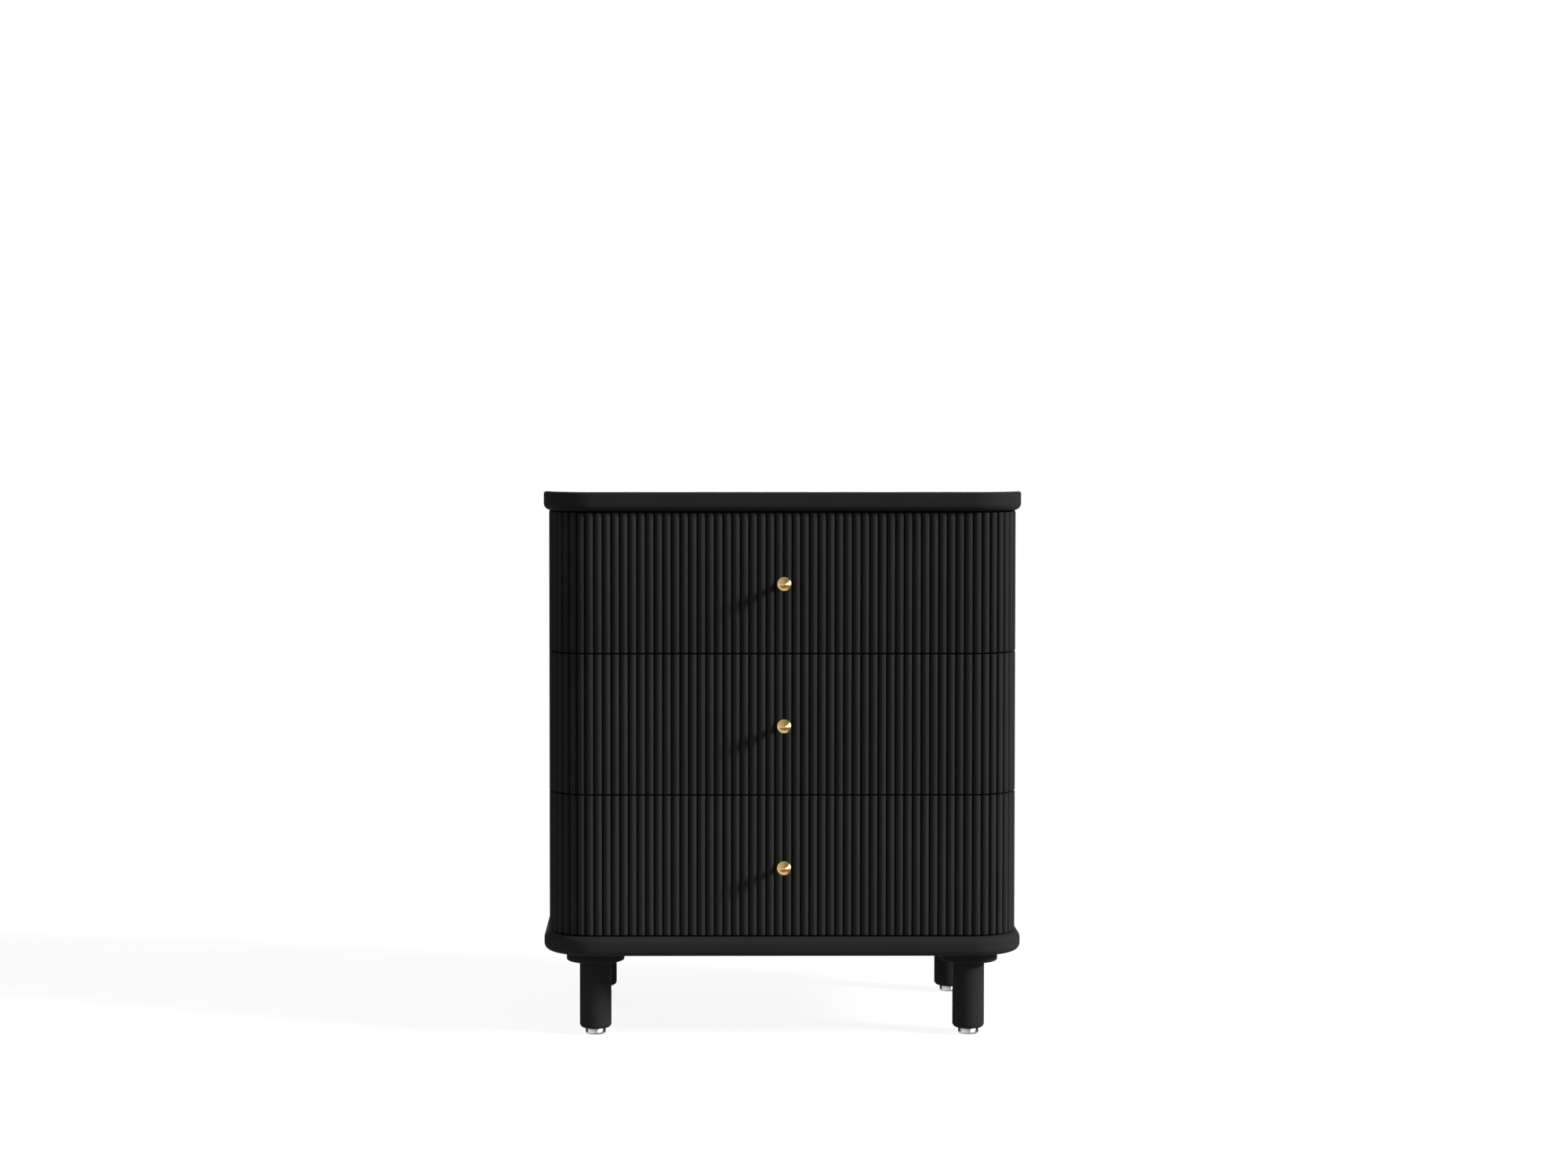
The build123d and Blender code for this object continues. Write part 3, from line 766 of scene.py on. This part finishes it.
def shader_group(name, inputs, outputs):
    """An empty node group with named sockets, what its input node gives, and its output node."""
    tree = bpy.data.node_groups.new(name, "ShaderNodeTree")
    for direction, sockets in (("INPUT", inputs), ("OUTPUT", outputs)):
        for socket, kind in sockets:
            tree.interface.new_socket(name=socket, in_out=direction, socket_type=f"NodeSocket{kind}")
    return tree, put(tree, "NodeGroupInput").outputs, put(tree, "NodeGroupOutput")


def skin_group():
    """Sprayed skin: slow changes of tone and sheen, and a fine pebbled height."""
    tree, given, outer = shader_group(
        "Sprayed Skin", [("Vector", "Vector"), ("Colour", "Color"), ("Sheen", "Float")], SURFACE
    )
    broad = noise(tree, given["Vector"], scale=9.0, detail=4.0)
    fine = noise(tree, given["Vector"], scale=1400.0, detail=2.0)
    sheen = sum_up(tree, "ADD", given["Sheen"], spread(tree, broad, *NOISE, -0.025, 0.025))
    give(tree, outer, {
        "Colour": scaled(tree, given["Colour"], spread(tree, broad, *NOISE, 0.93, 1.07)),
        "Roughness": sum_up(tree, "ADD", sheen, spread(tree, fine, *NOISE, -0.02, 0.02)),
        "Height": fine,
    })
    return tree


def grain_group():
    """Wood: growth rings bent by slow noise, and fine fibres drawn out along the first axis."""
    tree, given, outer = shader_group(
        "Wood Grain", [("Vector", "Vector"), ("Light", "Color"), ("Dark", "Color")], SURFACE
    )
    bend = noise(tree, drawn_out(tree, given["Vector"], (1.2, 12.0, 12.0)), scale=1.0, detail=3.0)
    rings = times(tree, bend, GROWTH_RINGS)
    wave = sum_up(tree, "SINE", times(tree, rings, math.tau))
    fibre = noise(tree, drawn_out(tree, given["Vector"], (14.0, 900.0, 900.0)), scale=1.0, detail=3.0)
    ring_share = spread(tree, wave, -1.0, 1.0, 0.0, 0.55)
    share = sum_up(tree, "ADD", ring_share, spread(tree, fibre, *NOISE, -0.12, 0.32))
    share = put(tree, "ShaderNodeClamp", {"Value": share}).outputs[0]
    give(tree, outer, {
        "Colour": mixed(tree, share, given["Light"], given["Dark"]),
        "Roughness": spread(tree, fibre, *NOISE, 0.42, 0.56),
        "Height": fibre,
    })
    return tree


def ply_group():
    """Plies on the edges of a board: bands across its thickness, where a face looks along the board."""
    tree, given, outer = shader_group(
        "Ply Edge",
        [("Face Colour", "Color"), ("Ply Colour", "Color"), ("Depth", "Float"), ("Facing", "Float")],
        [("Colour", "Color")],
    )
    bands = sum_up(tree, "SINE", times(tree, given["Depth"], math.tau / sizes().ply_pitch))
    stripe = spread(tree, bands, -0.25, 0.25, 0.0, 0.75)
    edge = falling(tree, sum_up(tree, "ABSOLUTE", given["Facing"]), (0.55, 0.75))
    share = times(tree, stripe, edge)
    colour = mixed(tree, share, given["Face Colour"], given["Ply Colour"])
    give(tree, outer, {"Colour": colour})
    return tree


def worked_metal_group():
    """Worked metal: streaks along the first axis that vary the sheen and the height, with faint clouding."""
    tree, given, outer = shader_group(
        "Worked Metal",
        [("Vector", "Vector"), ("Colour", "Color"), ("Sheen", "Float"), ("Spread", "Float")],
        SURFACE,
    )
    streak = noise(tree, drawn_out(tree, given["Vector"], (10.0, 1500.0, 1500.0)), scale=1.0, detail=2.0)
    cloud = noise(tree, given["Vector"], scale=60.0, detail=3.0)
    swing = times(tree, spread(tree, streak, *NOISE, -1.0, 1.0), given["Spread"])
    give(tree, outer, {
        "Colour": scaled(tree, given["Colour"], spread(tree, cloud, *NOISE, 0.92, 1.04)),
        "Roughness": sum_up(tree, "ADD", given["Sheen"], swing),
        "Height": streak,
    })
    return tree


def group(name):
    """A shader group by name, built the first time it is asked for."""
    makers = {
        "Sprayed Skin": skin_group,
        "Wood Grain": grain_group,
        "Ply Edge": ply_group,
        "Worked Metal": worked_metal_group,
    }
    return bpy.data.node_groups.get(name) or makers[name]()


def blank_material(name):
    """The tree and the shader of a new material that has a Principled shader and nothing else."""
    tree = emptied(bpy.data.materials.new(name))
    shader = put(tree, "ShaderNodeBsdfPrincipled")
    put(tree, "ShaderNodeOutputMaterial", {"Surface": shader.outputs[0]})
    return tree, shader


def object_vector(tree, turn):
    """Object coordinates, turned."""
    where = put(tree, "ShaderNodeTexCoord").outputs["Object"]
    return put(tree, "ShaderNodeMapping", {"Vector": where, "Rotation": turn}).outputs[0]


def feed(tree, shader, name, inputs, strength, distance):
    """Adds a group, and wires its colour, roughness and height into a shader."""
    maker = put(tree, "ShaderNodeGroup", inputs, node_tree=group(name))
    bump = {"Strength": strength, "Distance": distance, "Height": maker.outputs["Height"]}
    give(tree, shader, {
        "Base Color": maker.outputs["Colour"],
        "Roughness": maker.outputs["Roughness"],
        "Normal": put(tree, "ShaderNodeBump", bump).outputs[0],
    })
    return maker


def lacquer(tree, shader, colour, sheen, specular, reeded=False):
    """Sprayed lacquer on board. On reeds its colour carries painted light and shade: a painted highlight
    towards the crests and painted shade down in the grooves."""
    inputs = {"Vector": object_vector(tree, ALONG_X), "Colour": painted(colour), "Sheen": sheen}
    skin = feed(tree, shader, "Sprayed Skin", inputs, strength=0.12, distance=0.00004)
    give(tree, shader, {"Specular IOR Level": specular})
    if reeded:
        # Painted shade and highlight on the reeds: the colour is darkened to 0.4 in a groove and lightened to
        # 1.12 towards a crest
        crest = put(tree, "ShaderNodeAttribute", attribute_name=CREST).outputs["Fac"]
        painted_reed_light_and_shade = scaled(tree, skin.outputs["Colour"], spread(tree, crest, 0.0, 0.6, 0.4, 1.12))
        give(tree, shader, {"Base Color": painted_reed_light_and_shade})


def birch(tree, shader, turn, depth_axis=None):
    """Clear lacquered birch with the grain along one axis, and as plywood with its plies across another."""
    inputs = {
        "Vector": object_vector(tree, turn),
        "Light": painted("birch_light"),
        "Dark": painted("birch_dark"),
    }
    grain = feed(tree, shader, "Wood Grain", inputs, strength=0.2, distance=0.0001)
    if depth_axis is None:
        return
    where = put(tree, "ShaderNodeTexCoord").outputs
    inputs = {
        "Face Colour": grain.outputs["Colour"],
        "Ply Colour": painted("ply_dark"),
        "Depth": put(tree, "ShaderNodeSeparateXYZ", {0: where["Object"]}).outputs[depth_axis],
        "Facing": put(tree, "ShaderNodeSeparateXYZ", {0: where["Normal"]}).outputs[depth_axis],
    }
    ply = put(tree, "ShaderNodeGroup", inputs, node_tree=group("Ply Edge"))
    give(tree, shader, {"Base Color": ply.outputs["Colour"]})


def metal(tree, shader, colour, sheen, swing, turn):
    """Metal with worked streaks along one axis, and a sheen that swings with them."""
    inputs = {"Vector": object_vector(tree, turn), "Colour": painted(colour), "Sheen": sheen, "Spread": swing}
    feed(tree, shader, "Worked Metal", inputs, strength=0.08, distance=0.00003)
    give(tree, shader, {"Metallic": 1.0})


# Materials by name: what makes each, and with which settings
MATERIALS = {
    "satin_black_lacquer": (lacquer, {"colour": "lacquer", "sheen": 0.66, "specular": 0.04}),
    "reeded_black_lacquer": (lacquer, {"colour": "lacquer", "sheen": 0.66, "specular": 0.04, "reeded": True}),
    "polished_black_lacquer": (lacquer, {"colour": "lacquer", "sheen": 0.16, "specular": 0.03}),
    "matt_black_hardboard": (lacquer, {"colour": "back_board", "sheen": 0.62, "specular": 0.25}),
    "birch_across": (birch, {"turn": ALONG_X, "depth_axis": 1}),
    "birch_along": (birch, {"turn": ALONG_Y, "depth_axis": 0}),
    "birch_bottom": (birch, {"turn": ALONG_X, "depth_axis": 2}),
    "birch_dowels": (birch, {"turn": ALONG_Z}),
    "zinc_plated_steel": (metal, {"colour": "steel", "sheen": 0.34, "swing": 0.08, "turn": ALONG_Y}),
    "polished_foot_plate": (metal, {"colour": "chrome", "sheen": 0.12, "swing": 0.03, "turn": ALONG_X}),
    "polished_brass": (metal, {"colour": "brass", "sheen": 0.16, "swing": 0.03, "turn": ALONG_Y}),
}


def finish(name):
    """A material by name, built the first time it is asked for."""
    if name not in bpy.data.materials:
        maker, settings = MATERIALS[name]
        maker(*blank_material(name), **settings)
    return bpy.data.materials[name]


# Operators

class BuildPanels(bpy.types.Operator):
    """Makes the top and base panels"""

    bl_idname = "nightstand.build_panels"
    bl_label = "Top and base panels"

    def execute(self, context):
        s = sizes()
        top, base = panel("top_panel", s.top_edge), panel("base_panel", s.panel_edge)
        polish_upper_face(add_piece("top_panel", top, CABINET, *BLACK))
        add_piece("base_panel", base, CABINET, *BLACK)
        return {"FINISHED"}


class BuildCarcass(bpy.types.Operator):
    """Makes the side panels, the back panel and the front rail"""

    bl_idname = "nightstand.build_carcass"
    bl_label = "Carcass boards"

    def execute(self, context):
        edge = sizes().board_edge
        for name in ("left_side_panel", "right_side_panel", "front_rail"):
            add_piece(name, board(name, edge), CABINET, *BLACK)
        add_piece("back_panel", board("back_panel", edge), CABINET, *BACK)
        return {"FINISHED"}


class BuildFronts(bpy.types.Operator):
    """Makes the reeded facings and the bent fronts behind them"""

    bl_idname = "nightstand.build_fronts"
    bl_label = "Drawer fronts"

    BEND_STEPS = 33

    def execute(self, context):
        s = sizes()
        stations, rise = reed_stations()
        total = s.flat_reeds + 2 * s.corner_reeds
        bend = np.linspace(0.0, s.corner_reeds, self.BEND_STEPS)
        plain = np.concatenate([bend, total - bend[::-1]])
        seat = np.full(len(plain), -s.facing_web)
        for drawer in DRAWERS:
            body = f"{drawer}_drawer"
            low, high = node_box(f"{body}_facing")
            ends = low[2], high[2]
            facing = front_wall(stations, rise, -s.facing_web, *ends, s.front_edge, s.facing_back_edge)
            front = front_wall(plain, seat, -s.facing_web - s.front_thick, *ends, s.front_edge, s.front_edge)
            reeded = add_piece(f"{body}_facing", facing, body, *REEDED)
            add_piece(f"{body}_front", front, body, *BLACK)
            mark_crests(reeded, rise)
        return {"FINISHED"}


class BuildBoxes(bpy.types.Operator):
    """Makes the drawer boxes"""

    bl_idname = "nightstand.build_boxes"
    bl_label = "Drawer boxes"

    def execute(self, context):
        for drawer in DRAWERS:
            body = f"{drawer}_drawer"
            add_piece(f"{body}_box_front", box_front(drawer), body, "box_wood", "birch_across")
            for part, wood in (
                ("box_left", "birch_along"),
                ("box_right", "birch_along"),
                ("box_back", "birch_across"),
                ("box_bottom", "birch_bottom"),
            ):
                node = f"{body}_{part}"
                add_piece(node, board(node, sizes().box_edge), body, "box_wood", wood)
        return {"FINISHED"}


class BuildKnobs(bpy.types.Operator):
    """Makes the turned knobs"""

    bl_idname = "nightstand.build_knobs"
    bl_label = "Knobs"

    def execute(self, context):
        for drawer in DRAWERS:
            body = f"{drawer}_drawer"
            add_piece(f"{body}_knob", knob(f"{body}_knob"), body, *BRASS, sharp=50.0)
        return {"FINISHED"}


class BuildLegs(bpy.types.Operator):
    """Makes the legs, their plates and the levelling feet"""

    bl_idname = "nightstand.build_legs"
    bl_label = "Legs and feet"

    def execute(self, context):
        for place in LEGS:
            for name, shape in ((f"leg_{place}", leg), (f"leg_plate_{place}", leg_plate)):
                add_piece(name, shape(name), CABINET, *BLACK)
            foot = f"foot_{place}"
            add_piece(foot, threaded_foot(foot), foot, *CHROME)
        return {"FINISHED"}


class BuildHardware(bpy.types.Operator):
    """Makes the screws, the cam locks and the runners, and finishes the hidden bolts, inserts and dowels"""

    bl_idname = "nightstand.build_hardware"
    bl_label = "Runners and screws"

    # How much wider and further apart the holes of a middle member are
    WIDER, FURTHER = 1.5, 2

    def execute(self, context):
        s = sizes()
        shown = {"cabinet_runner_screws": CABINET, "leg_plate_screws": CABINET}
        shown.update({f"{drawer}_drawer_fasteners": f"{drawer}_drawer" for drawer in DRAWERS})
        for node, body in shown.items():
            proud = s.screw_proud if node == "leg_plate_screws" else 0.0
            add_piece(node, screws(node, proud), body, *STEEL)
        add_piece("cam_locks", cams("cam_locks"), CABINET, *STEEL)
        for node in ("leg_bolts", "leg_inserts"):
            dress(node, "zinc_plated_steel")
        close = (s.runner_hole, s.runner_pitch)
        apart = (self.WIDER * s.runner_hole, self.FURTHER * s.runner_pitch)
        for drawer in DRAWERS:
            for part, body, web_outside, holes in (
                ("cabinet_runners", CABINET, True, close),
                ("intermediate_runners", f"{drawer}_intermediate_runners", True, apart),
                ("drawer_runners", f"{drawer}_drawer", False, close),
            ):
                node = f"{drawer}_{part}"
                add_piece(node, runners(node, web_outside, *holes), body, *STEEL)
        dress("carcass_dowels", "birch_dowels")
        return {"FINISHED"}


class BuildStage(bpy.types.Operator):
    """Makes the floor, the lights, the surroundings and the camera"""

    bl_idname = "nightstand.build_stage"
    bl_label = "Stage"

    # Lamps: the way each shines from, its power and its width in degrees
    LAMPS = {
        "key_light": ((0.851, -0.301, 0.43), 4.6, 12.0),
        "back_fill": ((-0.35, 0.9, 0.25), 1.6, 25.0),
        "side_fill": ((-0.75, -0.6, 0.25), 0.26, 40.0),
    }
    LAMP_REACH = 3.0
    ROOM_LIGHT = 0.29

    # Floor: its tone to the camera and how much of that glows, and the span of distances over which the tone
    # that it throws back on the object falls from one to another, a painted pool of light that is paler near
    # the object
    FLOOR_HALF = 30.0
    FLOOR_TONE = (0.95, 0.95, 0.95, 1.0)
    FLOOR_GLOW = 1.05
    GLOW_SHARE = 0.86
    POOL = (0.45, 0.9, 0.42, 0.08)

    # Mirrored room: spans along the parts of a direction, those of four numbers with the tones at their ends,
    # and slants of straight edges
    WALLS = (-0.9, 0.5, 0.62, 0.27)
    LOW_WALLS = (-0.15, -0.05, 1.45, 1.0)
    CARD_SIDE = (0.35, 0.5)
    CARD_FOOT = (-0.26, -0.21)
    CARD_SLANT = 0.66
    CARD_TOP = (0.52, 0.64)
    CARD_TONE = 3.4
    TABLE_SLANT = 0.74
    TABLE_EDGE = (-0.04, 0.02)
    TABLE = (0.4, 0.7, 0.8, 0.25)
    BROWN_SPAN = (-0.42, -0.34)
    BROWN = (0.26, 0.18, 0.09, 1.0)
    REAR_SPAN = (-0.1, 0.2)
    REAR = (-0.27, -0.22, 0.6, 0.06)
    STRIP_SPAN = (0.93, 0.97)
    STRIP_TOP = (0.07, 0.15)
    STRIP_TONE = 3.0

    # Camera: lengths in metres, angles in degrees, the lens in millimetres
    CAMERA_PLACE = (-0.1182, -3.9782, 0.7882)
    CAMERA_PITCH = 1.9
    CAMERA_TURN = 0.246
    LENS = 70.375
    SENSOR_WIDTH = 36.0
    SHIFT = (0.0526, -0.0491)

    def execute(self, context):
        self.lay_floor()
        self.hang_lights()
        self.paint_world(context.scene)
        self.set_camera(context.scene)
        context.scene.view_settings.view_transform = "Standard"
        return {"FINISHED"}

    def lay_floor(self):
        """A white floor. What it throws back on the object is less than the camera sees of it, and is a
        painted pool of light: paler near the object and darker further off.
        """
        half = self.FLOOR_HALF
        mesh = bpy.data.meshes.new("floor")
        corners = [(-half, -half, 0.0), (half, -half, 0.0), (half, half, 0.0), (-half, half, 0.0)]
        mesh.from_pydata(corners, [], [(0, 1, 2, 3)])
        floor = placed("floor", mesh)
        material = bpy.data.materials.new("white_floor")
        tree = emptied(material)
        seen = put(tree, "ShaderNodeLightPath").outputs["Is Camera Ray"]
        flat = put(tree, "ShaderNodeTexCoord").outputs["Object"]
        reach = put(tree, "ShaderNodeVectorMath", {0: flat}, operation="LENGTH").outputs["Value"]
        # Painted pool of light: for the rays that bounce back on the object the floor is paler near it and
        # darker further off
        painted_bounce_pool = grey(tree, spread(tree, reach, *self.POOL))
        matt = put(tree, "ShaderNodeBsdfDiffuse", {"Color": mixed(tree, seen, painted_bounce_pool, self.FLOOR_TONE)})
        glow = put(tree, "ShaderNodeEmission", {"Color": WHITE, "Strength": self.FLOOR_GLOW})
        share = times(tree, seen, self.GLOW_SHARE)
        both = put(tree, "ShaderNodeMixShader", {0: share, 1: matt.outputs[0], 2: glow.outputs[0]})
        put(tree, "ShaderNodeOutputMaterial", {"Surface": both.outputs[0]})
        mesh.materials.append(material)
        floor.visible_glossy = False

    def hang_lights(self):
        """The lamps, left out of what polished metal mirrors, which is the painted room alone."""
        for name, (towards, power, width) in self.LAMPS.items():
            lamp = bpy.data.lights.new(name, "SUN")
            lamp.energy = power
            lamp.angle = math.radians(width)
            light = placed(name, lamp)
            light.rotation_mode = "QUATERNION"
            light.rotation_quaternion = Vector(towards).to_track_quat("Z", "Y")
            light.location = Vector(towards) * self.LAMP_REACH
            light.visible_glossy = False

    def paint_world(self, scene):
        """White behind the object, the mirrored room for reflections, and a low even light for the rest."""
        scene.world = bpy.data.worlds.new("studio")
        tree = emptied(scene.world)
        path = put(tree, "ShaderNodeLightPath").outputs
        where = put(tree, "ShaderNodeTexCoord").outputs["Generated"]
        room = self.mirrored_room(tree, put(tree, "ShaderNodeSeparateXYZ", {0: where}).outputs)
        seen = mixed(tree, path["Is Camera Ray"], room, WHITE)
        shown = sum_up(tree, "MAXIMUM", path["Is Camera Ray"], path["Is Glossy Ray"])
        shown = sum_up(tree, "MAXIMUM", shown, path["Is Transmission Ray"])
        plain = put(tree, "ShaderNodeBackground", {"Color": WHITE, "Strength": self.ROOM_LIGHT})
        backdrop = put(tree, "ShaderNodeBackground", {"Color": seen, "Strength": 1.0})
        both = put(tree, "ShaderNodeMixShader", {0: shown, 1: plain.outputs[0], 2: backdrop.outputs[0]})
        put(tree, "ShaderNodeOutputWorld", {"Surface": both.outputs[0]})

    def mirrored_room(self, tree, parts):
        """The room that polished metal mirrors, by direction: walls that are paler to the left, a bright card
        at the right, a pale table below a straight edge and brown before it, a dark rear wall over a pale
        floor, and low on that wall a bright strip that the top panel mirrors."""
        x, y, z = parts
        walls = spread(tree, x, *self.WALLS)
        walls = times(tree, walls, spread(tree, z, *self.LOW_WALLS))
        lean = sum_up(tree, "SUBTRACT", z, times(tree, y, self.CARD_SLANT))
        card = times(tree, rising(tree, x, self.CARD_SIDE), falling(tree, lean, self.CARD_TOP))
        card = times(tree, card, rising(tree, z, self.CARD_FOOT))
        walls = spread(tree, card, 0.0, 1.0, walls, self.CARD_TONE)
        edge = sum_up(tree, "SUBTRACT", z, times(tree, y, self.TABLE_SLANT))
        under_edge = falling(tree, edge, self.TABLE_EDGE)
        table = spread(tree, x, *self.TABLE)
        front = spread(tree, under_edge, 0.0, 1.0, walls, table)
        rear = spread(tree, z, *self.REAR)
        tone = spread(tree, y, *self.REAR_SPAN, front, rear)
        strip = times(tree, rising(tree, y, self.STRIP_SPAN), falling(tree, z, self.STRIP_TOP))
        tone = spread(tree, strip, 0.0, 1.0, tone, self.STRIP_TONE)
        brown = times(tree, under_edge, falling(tree, y, self.BROWN_SPAN))
        return mixed(tree, brown, grey(tree, tone), self.BROWN)

    def set_camera(self, scene):
        """The camera, a little to the left of the object and looking slightly down."""
        lens = bpy.data.cameras.new("camera")
        lens.sensor_width = self.SENSOR_WIDTH
        lens.lens = self.LENS
        lens.shift_x, lens.shift_y = self.SHIFT
        camera = placed("camera", lens)
        camera.location = self.CAMERA_PLACE
        camera.rotation_euler = (math.radians(90.0 - self.CAMERA_PITCH), 0.0, -math.radians(self.CAMERA_TURN))
        scene.camera = camera


class NightstandPanel(bpy.types.Panel):
    """Lists the steps that dress the nightstand"""

    bl_idname = "VIEW3D_PT_nightstand"
    bl_label = "Nightstand"
    bl_space_type = "VIEW_3D"
    bl_region_type = "UI"
    bl_category = "Nightstand"

    def draw(self, context):
        for step in STEPS:
            self.layout.operator(step.bl_idname)
        for group_name in ("nightstand_sizes", "nightstand_finishes"):
            values = getattr(context.scene, group_name)
            for key in values.bl_rna.properties.keys():
                if key not in ("rna_type", "name"):
                    self.layout.prop(values, key)


STEPS = (BuildPanels, BuildCarcass, BuildFronts, BuildBoxes, BuildKnobs, BuildLegs, BuildHardware, BuildStage)
CLASSES = (NightstandSizes, NightstandFinishes, *STEPS, NightstandPanel)


def register():
    for kind in CLASSES:
        bpy.utils.register_class(kind)
    bpy.types.Scene.nightstand_sizes = PointerProperty(type=NightstandSizes)
    bpy.types.Scene.nightstand_finishes = PointerProperty(type=NightstandFinishes)


def unregister():
    del bpy.types.Scene.nightstand_finishes
    del bpy.types.Scene.nightstand_sizes
    for kind in reversed(CLASSES):
        bpy.utils.unregister_class(kind)


def main():
    register()
    bpy.ops.nightstand.build_panels()
    bpy.ops.nightstand.build_carcass()
    bpy.ops.nightstand.build_fronts()
    bpy.ops.nightstand.build_boxes()
    bpy.ops.nightstand.build_knobs()
    bpy.ops.nightstand.build_legs()
    bpy.ops.nightstand.build_hardware()
    bpy.ops.nightstand.build_stage()


if __name__ == "__main__":
    main()
